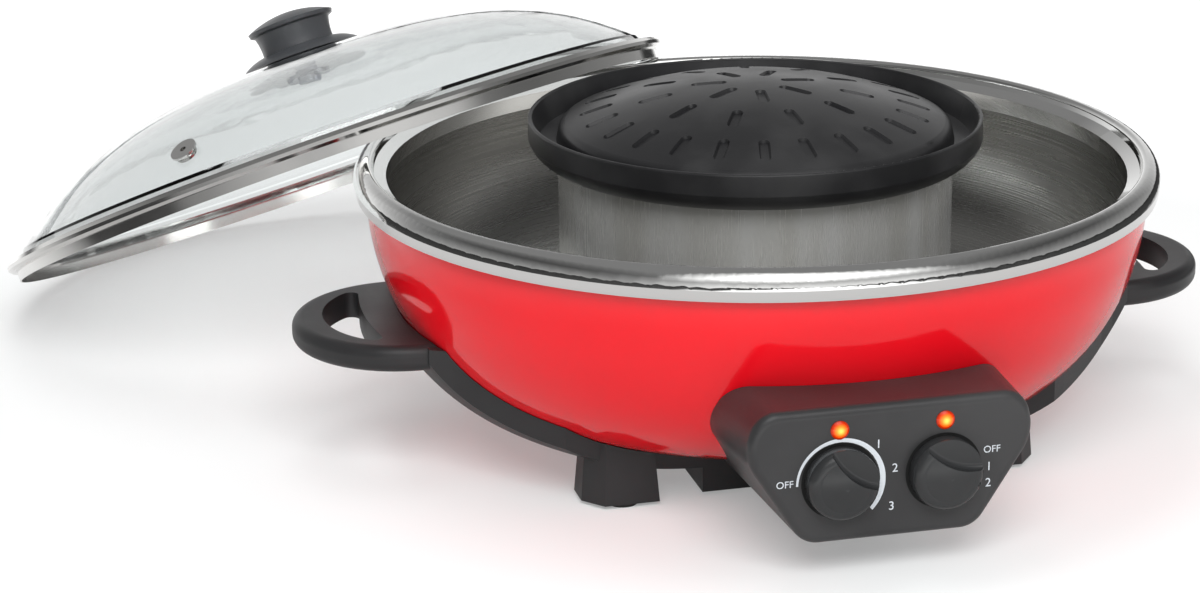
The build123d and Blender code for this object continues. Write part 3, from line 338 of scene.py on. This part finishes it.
stamped = weld_tree.nodes.new("GeometryNodeInstanceOnPoints")
link(weld_tree, circle.outputs["Mesh"], stamped.inputs["Points"])
link(weld_tree, bead.outputs["Mesh"], stamped.inputs["Instance"])
link(weld_tree, outwards.outputs["Rotation"], stamped.inputs["Rotation"])
bead_size = combine(weld_tree, weld_in["Bead Width"], weld_in["Bead Length"], weld_in["Bead Height"])
link(weld_tree, bead_size, stamped.inputs["Scale"])
lifted = weld_tree.nodes.new("GeometryNodeTransform")
link(weld_tree, stamped.outputs["Instances"], lifted.inputs["Geometry"])
link(weld_tree, combine(weld_tree, 0.0, 0.0, weld_in["Height"]), lifted.inputs["Translation"])
solid = weld_tree.nodes.new("GeometryNodeRealizeInstances")
link(weld_tree, lifted.outputs["Geometry"], solid.inputs["Geometry"])
smooth = weld_tree.nodes.new("GeometryNodeSetShadeSmooth")
link(weld_tree, solid.outputs["Geometry"], smooth.inputs["Geometry"])
finished = weld_tree.nodes.new("GeometryNodeSetMaterial")
link(weld_tree, smooth.outputs["Geometry"], finished.inputs["Geometry"])
link(weld_tree, weld_in["Finish"], finished.inputs["Material"])
link(weld_tree, finished.outputs["Geometry"], weld_out["Geometry"])


def bring_in(name, data):
    thing = bpy.data.objects.new(name, data)
    bpy.context.scene.collection.objects.link(thing)
    return thing


def finished_mesh(thing):
    evaluated = thing.evaluated_get(bpy.context.evaluated_depsgraph_get())
    return bpy.data.meshes.new_from_object(evaluated)


def grow(name, tree, settings):
    seed = bring_in(name, bpy.data.meshes.new(name))
    modifier = seed.modifiers.new("grown", "NODES")
    modifier.node_group = tree
    for item in tree.interface.items_tree:
        if item.in_out == "INPUT" and item.name in settings:
            modifier[item.identifier] = settings[item.name]
    mesh = finished_mesh(seed)
    seed.modifiers.clear()
    seed.data = mesh
    return seed


chimney_low, chimney_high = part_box("pot_chimney")
weld_settings = {
    "Radius": chimney_high[0] + weld_stands_out,
    "Height": chimney_low[2] + weld_stands_up,
    "Beads": bead_count,
    "Finish": weld_steel,
}
weld_ring = grow("chimney_weld", weld_tree, weld_settings)
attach(weld_ring, "pot")

# ------------------------------------------------------------------ heaters
# Each heater is a bent tube element with a dull, heat-darkened sheath, clipped over a pressed reflector.
# The reflectors and the pedestal under them are zinc plated steel.
sheath_grey = (0.16, 0.15, 0.14)
sheath_tan = (0.24, 0.19, 0.14)
zinc_grey = (0.55, 0.56, 0.58)
zinc_blue = (0.46, 0.49, 0.55)
scale_size = 60.0
scale_range = (0.4, 0.65)
sheath_metallic = 0.8
sheath_roughness = (0.38, 0.6)
sheath_grain = {"scale": 900.0, "depth": 0.00005, "strength": 0.5}
spangle_scale = 120.0
zinc_roughness = (0.24, 0.42)
zinc_grain = {"scale": 700.0, "depth": 0.00003, "strength": 0.4}


def add_grain(tree, shader, place, scale, depth, strength, detail=3.0):
    raise_bump(tree, shader, noise(tree, place, scale, detail), depth, strength)


sheath, shader = new_finish("element_sheath", sheath_grey, sheath_roughness[0], sheath_metallic)
tree = sheath.node_tree
place = object_place(tree)
scale_marks = noise(tree, place, scale_size, detail=5.0)
share = remap(tree, scale_marks, scale_range)
link(tree, blend_colours(tree, share, sheath_grey, sheath_tan), shader.inputs["Base Color"])
link(tree, remap(tree, scale_marks, most_of_noise, sheath_roughness), shader.inputs["Roughness"])
add_grain(tree, shader, place, **sheath_grain)
dress(sheath, "grill_heating_element", "pot_heating_element")

zinc, shader = new_finish("plated_steel", zinc_grey, zinc_roughness[0], metallic=1.0)
tree = zinc.node_tree
place = object_place(tree)
spangle = noise(tree, place, spangle_scale, detail=4.0)
share = remap(tree, spangle, heart_of_noise)
link(tree, blend_colours(tree, share, zinc_grey, zinc_blue), shader.inputs["Base Color"])
link(tree, remap(tree, spangle, most_of_noise, zinc_roughness), shader.inputs["Roughness"])
add_grain(tree, shader, place, **zinc_grain)
dress(zinc, "grill_element_clips", "pot_element_clips", "heat_reflector", "pot_heat_reflector")
dress(zinc, "heater_pedestal", "pedestal_screws", "thermal_fuse", "cover_screws", "handle_screws")
dress(zinc, "housing_screws", "bracket_screws")
dress(zinc, "control_bracket", "thermostat_shaft", "switch_shaft", "inner_washer", "lid_knob_screw")

# ------------------------------------------------------------------ grill plate
# The plate is cast aluminium with a sprayed non-stick coat: satin black, with a very fine pebble.
# Grease runs off its dome along the short radial slots into the gutter.
coat_black = (0.012, 0.012, 0.013)
coat_grey = (0.028, 0.028, 0.029)
wear_scale = 28.0
wear_range = (0.4, 0.7)
coat_roughness = (0.28, 0.42)
pebble = {"scale": 1500.0, "depth": 0.00006, "strength": 0.6, "detail": 2.0}

coat, shader = new_finish("nonstick_coat", coat_black, coat_roughness[0])
tree = coat.node_tree
place = object_place(tree)
wear = noise(tree, place, wear_scale, detail=4.0)
share = remap(tree, wear, wear_range)
link(tree, blend_colours(tree, share, coat_black, coat_grey), shader.inputs["Base Color"])
link(tree, remap(tree, wear, most_of_noise, coat_roughness), shader.inputs["Roughness"])
add_grain(tree, shader, place, **pebble)
dress(coat, "grill_plate", "plate_locating_ring")

# ------------------------------------------------------------------ base, handles and feet
# Base frame, handles and covers are moulded in heat-proof phenolic with a spark-eroded satin skin.
# The handles hug the bowl from beneath and are screwed to the base, which stands on four rubber pads.
phenolic_colours = ((0.016, 0.016, 0.017), (0.024, 0.024, 0.025))
phenolic_roughness = (0.34, 0.44)
rubber_colours = ((0.022, 0.022, 0.022), (0.035, 0.035, 0.034))
rubber_roughness = (0.6, 0.8)
skin_scale = 1300.0
patch_scale = 26.0
skin_strength = 0.6

# fine pits of a moulded skin, and the broad dull patches that handling leaves
skin_numbers = {"Grain": skin_scale, "Patch": patch_scale}
moulded_skin, came_in, goes_out = new_effect("moulded_skin", skin_numbers, ("Grain", "Patch"))
for name, detail in (("Grain", 2.0), ("Patch", 4.0)):
    pits = moulded_skin.nodes.new("ShaderNodeTexNoise")
    pits.inputs["Detail"].default_value = detail
    link(moulded_skin, came_in.outputs["Vector"], pits.inputs["Vector"])
    link(moulded_skin, came_in.outputs[name], pits.inputs["Scale"])
    link(moulded_skin, pits.outputs["Fac"], goes_out.inputs[name])


def moulded(name, colours, roughness, grain, depth):
    finish, shader = new_finish(name, colours[0], roughness[0])
    tree = finish.node_tree
    skin = place_effect(tree, moulded_skin, object_place(tree), Grain=grain)
    patch = remap(tree, skin.outputs["Patch"], core_of_noise)
    link(tree, blend_colours(tree, patch, *colours), shader.inputs["Base Color"])
    link(tree, remap(tree, patch, (0.0, 1.0), roughness), shader.inputs["Roughness"])
    raise_bump(tree, shader, skin.outputs["Grain"], depth, skin_strength)
    return finish


phenolic = moulded("black_phenolic", phenolic_colours, phenolic_roughness, grain=skin_scale, depth=0.00008)
dress(phenolic, "base_frame", "foot_arms", "bottom_cover", "handle_left", "handle_right")
rubber = moulded("foot_rubber", rubber_colours, rubber_roughness, grain=700.0, depth=0.0001)
dress(rubber, "rubber_feet")

# ------------------------------------------------------------------ control housing
# The housing is a moulded shell on a plated bracket, with the thermostat, grill switch and terminals inside.
# The power inlet is let into the back of the base, and white leads run through the duct between them.
housing_colours = ((0.026, 0.026, 0.027), (0.036, 0.036, 0.037))
housing_roughness = (0.30, 0.38)
switch_colours = ((0.03, 0.03, 0.032), (0.04, 0.04, 0.04))
switch_roughness = (0.3, 0.4)
lead_colours = ((0.72, 0.72, 0.69), (0.62, 0.62, 0.58))
lead_roughness = (0.35, 0.5)

housing_skin = moulded("housing_phenolic", housing_colours, housing_roughness, grain=1500.0, depth=0.00006)
dress(housing_skin, "control_housing")
switch_plastic = moulded("switch_plastic", switch_colours, switch_roughness, grain=900.0, depth=0.00004)
dress(switch_plastic, "thermostat", "grill_switch", "power_inlet", "terminal_block")
lead_pvc = moulded("lead_pvc", lead_colours, lead_roughness, grain=600.0, depth=0.00003)
dress(lead_pvc, "internal_wiring")

# ------------------------------------------------------------------ knobs
# Both knobs are moulded in smoother and glossier black plastic than the housing.
# Each has a scoop beside a curved ridge, which is gripped between finger and thumb and points at the setting.
knob_colours = ((0.020, 0.021, 0.022), (0.026, 0.027, 0.028))
knob_roughness = (0.20, 0.27)

knob_skin = moulded("knob_plastic", knob_colours, knob_roughness, grain=2200.0, depth=0.00003)
dress(knob_skin, "hot_pot_knob", "grill_knob")

# ------------------------------------------------------------------ dial print
# The dials are printed on the housing's face in pale grey ink: a band that widens as the heat goes up,
# plain numbers for the settings, and OFF where each knob stops.
# A thin dark ring round each knob is a painted shadow, laid where the gap between its skirt and the housing
# is.
print_face_y = -0.2140
print_thickness = 0.00012
dial_from_middle = 0.024
dial_z = 0.048
knob_radius = 0.0164
shadow_ring_width = 0.0013
whole_turn = (0.0, 360.0)
band_centre = (-0.0235, 0.0472)
band_outer_r = 0.0206
band_turns = (-90.0, 134.5)
band_widths = (0.0010, 0.0030)
band_steps = 72
number_height = 0.0040
off_height = 0.0032
letter_share = 0.7  # height of a capital as a share of the type's size

# each word, with the x and z of its middle
dial_words = (
    ("OFF", -0.0492, 0.0484),
    ("1", -0.0064, 0.0633),
    ("2", 0.0014, 0.0513),
    ("3", 0.0000, 0.0335),
    ("OFF", 0.0464, 0.0556),
    ("1", 0.0452, 0.0475),
    ("2", 0.0450, 0.0398),
)

ink_colours = ((0.66, 0.70, 0.74), (0.58, 0.62, 0.66))
# the near-black of the ring round each knob is painted shadow
gap_shadow_colours = ((0.003, 0.003, 0.003), (0.005, 0.005, 0.005))
ink = moulded("dial_ink", ink_colours, (0.35, 0.5), grain=2600.0, depth=0.00001)
painted_gap_shadow = moulded("gap_shadow", gap_shadow_colours, (0.7, 0.9), grain=900.0, depth=0.00001)


def printed(name, mesh, finish):
    mesh.materials.clear()
    mesh.materials.append(finish)
    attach(bring_in(name, mesh), "base")


def flat_band(name, centre, outer_r, turns, widths, finish):
    """Lay a flat band on the face, with turns in degrees clockwise from the top."""
    points = []
    for step in range(band_steps + 1):
        share = step / band_steps
        turn = math.radians(turns[0] + (turns[1] - turns[0]) * share)
        width = widths[0] + (widths[1] - widths[0]) * share
        for radius in (outer_r, outer_r - width):
            x = centre[0] + radius * math.sin(turn)
            z = centre[1] + radius * math.cos(turn)
            points.append((x, print_face_y - print_thickness, z))
    faces = [(2 * k, 2 * k + 2, 2 * k + 3, 2 * k + 1) for k in range(band_steps)]
    mesh = bpy.data.meshes.new(name)
    mesh.from_pydata(points, [], faces)
    if mesh.polygons[0].normal.y > 0:
        mesh.flip_normals()
    printed(name, mesh, finish)


flat_band("heat_band", band_centre, band_outer_r, band_turns, band_widths, ink)
shadow_ring_outer_r = knob_radius + shadow_ring_width
shadow_ring_widths = (2 * shadow_ring_width, 2 * shadow_ring_width)  # the inner half is under the knob
# a flat black ring of painted shadow round each knob
for name, x in (("hot_pot_dial_gap_shadow", -dial_from_middle), ("grill_dial_gap_shadow", dial_from_middle)):
    flat_band(name, (x, dial_z), shadow_ring_outer_r, whole_turn, shadow_ring_widths, painted_gap_shadow)

for place_number, (word, x, z) in enumerate(dial_words):
    letters = bpy.data.curves.new("letters", "FONT")
    letters.body = word
    letters.align_x = "CENTER"
    letters.align_y = "CENTER"
    letters.size = (off_height if word == "OFF" else number_height) / letter_share
    letters.extrude = print_thickness / 2
    holder = bring_in("letters", letters)
    mesh = finished_mesh(holder)
    bpy.data.objects.remove(holder)
    upright = Matrix.Rotation(math.radians(90.0), 4, "X")
    mesh.transform(Matrix.Translation((x, print_face_y - print_thickness / 2, z)) @ upright)
    printed(f"dial_word_{place_number + 1}", mesh, ink)

# ------------------------------------------------------------------ pilot lamps
# A neon lamp glows behind each amber lens: yellow in the middle and dark red at the rim of the dome.
# The lens is clipped into the housing just above its dial.
lens_from_middle = 0.0243
lens_z = 0.0717
lens_radius = 0.0047
lens_amber = (0.85, 0.16, 0.01)
lens_roughness = 0.08
lens_glow = 0.9
glow_middle = (1.0, 0.55, 0.08, 1.0)
glow_rim = (0.10, 0.003, 0.0, 1.0)
# share of the dome's radius, and the colour there
glow_between = ((0.42, (1.0, 0.17, 0.01, 1.0)), (0.72, (0.42, 0.02, 0.0, 1.0)))

lens, shader = new_finish("amber_lens", lens_amber, lens_roughness)
tree = lens.node_tree
on_face = split(tree, object_place(tree))
sideways = calculate(tree, "SUBTRACT", calculate(tree, "ABSOLUTE", on_face[0]), lens_from_middle)
upward = calculate(tree, "SUBTRACT", on_face[2], lens_z)
from_centre = across_axis(tree, combine(tree, sideways, upward, 0.0))
ramp = tree.nodes.new("ShaderNodeValToRGB")
ramp.color_ramp.elements[0].color = glow_middle
ramp.color_ramp.elements[1].color = glow_rim
for stop, colour in glow_between:
    ramp.color_ramp.elements.new(stop).color = colour
link(tree, remap(tree, from_centre, (0.0, lens_radius)), ramp.inputs[0])
link(tree, ramp.outputs[0], shader.inputs["Emission Color"])
link(tree, ramp.outputs[0], shader.inputs["Base Color"])
shader.inputs["Emission Strength"].default_value = lens_glow
dress(lens, "hot_pot_lamp_lens", "grill_lamp_lens", "neon_lamps")

# ------------------------------------------------------------------ lid
# The lid is a dome of tempered glass with a polished steel ring pressed round its edge, and a steel vent.
# Its knob is a moulded grip on a drooping skirt, drawn down on the glass by one screw from beneath.
glass_tint = (0.83, 0.85, 0.85)
glass_deep_tint = (0.81, 0.83, 0.83)
glass_bend = 1.5
tint_drift_scale = 4.0
ring_grey = (0.66, 0.655, 0.64)
ring_dark = (0.62, 0.615, 0.60)
ring_light = (0.70, 0.695, 0.68)
buffing_scale = 45.0
ring_roughness = (0.12, 0.18)
grip_colours = ((0.050, 0.053, 0.058), (0.062, 0.065, 0.070))
grip_roughness = (0.30, 0.40)

glass, shader = new_finish("tempered_glass", glass_tint, roughness=0.0)
tree = glass.node_tree
drift = remap(tree, noise(tree, object_place(tree), tint_drift_scale, detail=0.0), most_of_noise)
link(tree, blend_colours(tree, drift, glass_tint, glass_deep_tint), shader.inputs["Base Color"])
shader.inputs["Transmission Weight"].default_value = 1.0
shader.inputs["IOR"].default_value = glass_bend
dress(glass, "lid_glass")

ring_steel, shader = new_finish("lid_ring_steel", ring_grey, ring_roughness[0], metallic=1.0)
tree = ring_steel.node_tree
buffing = noise(tree, object_place(tree), buffing_scale, detail=4.0)
link(tree, remap(tree, buffing, most_of_noise, ring_roughness), shader.inputs["Roughness"])
link(tree, blend_colours(tree, buffing, ring_dark, ring_light), shader.inputs["Base Color"])
dress(ring_steel, "lid_ring", "vent_grommet")

lid_knob_skin = moulded("lid_knob_plastic", grip_colours, grip_roughness, grain=1600.0, depth=0.00005)
dress(lid_knob_skin, "lid_knob", "skirt_disc", "knob_washer")

# ------------------------------------------------------------------ studio
# A white sweep in a white room with a dark ceiling, under an overhead softbox and a broad one in front.
# The sweep and the walls show white to the eye and to glass, and metal sees them fade towards the sides.
# The floor itself stays dim enough to take the shadow.
floor_size = 30.0
floor_white = (0.80, 0.80, 0.80)
floor_roughness = 0.9
# to the eye the floor has a touch less red than green and blue, which paints out the red light bounced onto
# it from the bowl
floor_to_eye = (0.61, 0.62)
paler_from = (0.45, 1.0)
glow_to_eye = (0.30, 0.72)
floor_to_light = 0.8
sweep_half_width = 0.42
sweep_fade = 0.2
floor_in_metal = (0.05, 0.4)
clear_of_pot = (0.35, 0.62)
glow_in_metal = (0.15, 1.0)
room_level = 0.54
ceiling_rise = (0.04, 0.55)
ceiling_levels = (1.0, 0.24)
side_reach = (0.45, 0.8)
side_levels = (1.0, 0.35)
front_ahead = -0.70
front_reach = (0.15, 0.75)
front_levels = (2.2, 0.0)
front_rise = (0.35, 0.65)
pot_middle = (0, 0, 0.1)

# name, centre, width and depth, watts
softboxes = (
    ("overhead_softbox", (-0.3, 0.3, 1.9), (1.3, 0.7), 8.0),
    ("front_softbox", (-0.4, -1.8, 1.8), (1.8, 1.3), 48.0),
    ("side_softbox", (1.7, -0.9, 0.9), (0.9, 1.0), 6.0),
)


def seen_by_eye(tree, path):
    return calculate(tree, "MAXIMUM", path.outputs["Is Camera Ray"], path.outputs["Is Transmission Ray"])


floor_mesh = bpy.data.meshes.new("studio_floor")
half = floor_size / 2
floor_corners = [(-half, -half, 0), (half, -half, 0), (half, half, 0), (-half, half, 0)]
floor_mesh.from_pydata(floor_corners, [], [(0, 1, 2, 3)])
floor = bring_in("studio_floor", floor_mesh)
sweep, shader = new_finish("white_sweep", floor_white, floor_roughness)
tree = sweep.node_tree
shader.inputs["Specular IOR Level"].default_value = 0.0
shader.inputs["Emission Color"].default_value = (1.0, 1.0, 1.0, 1.0)
path = tree.nodes.new("ShaderNodeLightPath")
to_eye = seen_by_eye(tree, path)
to_metal = path.outputs["Is Glossy Ray"]
sideways = calculate(tree, "ABSOLUTE", split(tree, object_place(tree))[0])
on_sweep = remap(tree, sideways, (sweep_half_width, sweep_half_width + sweep_fade), (1.0, 0.0))
distance = across_axis(tree, object_place(tree))
out_there = remap(tree, distance, clear_of_pot, glow_in_metal)
metal_base = remap(tree, on_sweep, (0.0, 1.0), floor_in_metal)
metal_glow = calculate(tree, "MULTIPLY", on_sweep, out_there)
base_level = blend_values(tree, to_metal, floor_to_light, metal_base)
glow_level = blend_values(tree, to_metal, 0.0, metal_glow)
# a lower red to the eye: painted-out red bounce light from the bowl
base_red = blend_values(tree, to_eye, base_level, floor_to_eye[0])
base_cool = blend_values(tree, to_eye, base_level, floor_to_eye[1])
paler_far_off = remap(tree, distance, paler_from, glow_to_eye)
glow_level = blend_values(tree, to_eye, glow_level, paler_far_off)
link(tree, combine(tree, base_red, base_cool, base_cool), shader.inputs["Base Color"])
link(tree, glow_level, shader.inputs["Emission Strength"])
floor_mesh.materials.append(sweep)

room = bpy.data.worlds.new("studio_room")
room.use_nodes = True
tree = room.node_tree
light_in_room = tree.nodes["Background"]
light_in_room.inputs["Color"].default_value = (1.0, 1.0, 1.0, 1.0)
path = tree.nodes.new("ShaderNodeLightPath")
sideways, ahead, upward = split(tree, tree.nodes.new("ShaderNodeTexCoord").outputs["Generated"])
off_sideways = calculate(tree, "ABSOLUTE", sideways)
dark_ceiling = remap(tree, upward, ceiling_rise, ceiling_levels)
dark_sides = remap(tree, off_sideways, side_reach, side_levels)
off_ahead = calculate(tree, "ABSOLUTE", calculate(tree, "SUBTRACT", ahead, front_ahead))
off_front = calculate(tree, "ADD", off_ahead, off_sideways)
front_glow = remap(tree, off_front, front_reach, front_levels)
front_glow = calculate(tree, "MULTIPLY", front_glow, remap(tree, upward, front_rise))
in_room = calculate(tree, "ADD", calculate(tree, "MULTIPLY", dark_ceiling, dark_sides), front_glow)
unseen_level = blend_values(tree, path.outputs["Is Glossy Ray"], room_level, in_room)
room_strength = blend_values(tree, seen_by_eye(tree, path), unseen_level, 1.0)
link(tree, room_strength, light_in_room.inputs["Strength"])
bpy.context.scene.world = room

for name, centre, (width, depth), watts in softboxes:
    light = bpy.data.lights.new(name, "AREA")
    light.shape = "ELLIPSE"
    light.size = width
    light.size_y = depth
    light.energy = watts
    holder = bring_in(name, light)
    holder.location = centre
    holder.rotation_euler = (Vector(pot_middle) - Vector(centre)).to_track_quat("-Z", "Y").to_euler()
    holder.visible_glossy = False

# ------------------------------------------------------------------ camera
# A long lens stands a pace and a half in front of the pot, a little to its left and above its rim.
# It looks slightly to the left of the pot's axis, so that the leaning lid fits in beside the pot.
view_turn = math.radians(16.5)
view_lift = math.radians(15.98)
view_distance = 1.6
view_height = 0.13
aim_left = math.radians(2.87)
aim_down = math.radians(2.27)
camera_roll = math.radians(-0.7)
lens_length = 97.18
sensor_width = 36.0

camera_data = bpy.data.cameras.new("camera")
camera_data.lens = lens_length
camera_data.sensor_width = sensor_width
camera = bring_in("camera", camera_data)
level_distance = view_distance * math.cos(view_lift)
stand = Vector((
    -level_distance * math.sin(view_turn),
    -level_distance * math.cos(view_turn),
    view_height + view_distance * math.sin(view_lift),
))
turned = Matrix.Rotation(aim_left - view_turn, 4, "Z")
tipped = Matrix.Rotation(math.radians(90.0) - view_lift - aim_down, 4, "X")
rolled = Matrix.Rotation(camera_roll, 4, "Z")
camera.matrix_world = Matrix.Translation(stand) @ turned @ tipped @ rolled
bpy.context.scene.camera = camera
bpy.context.scene.view_settings.view_transform = "Standard"
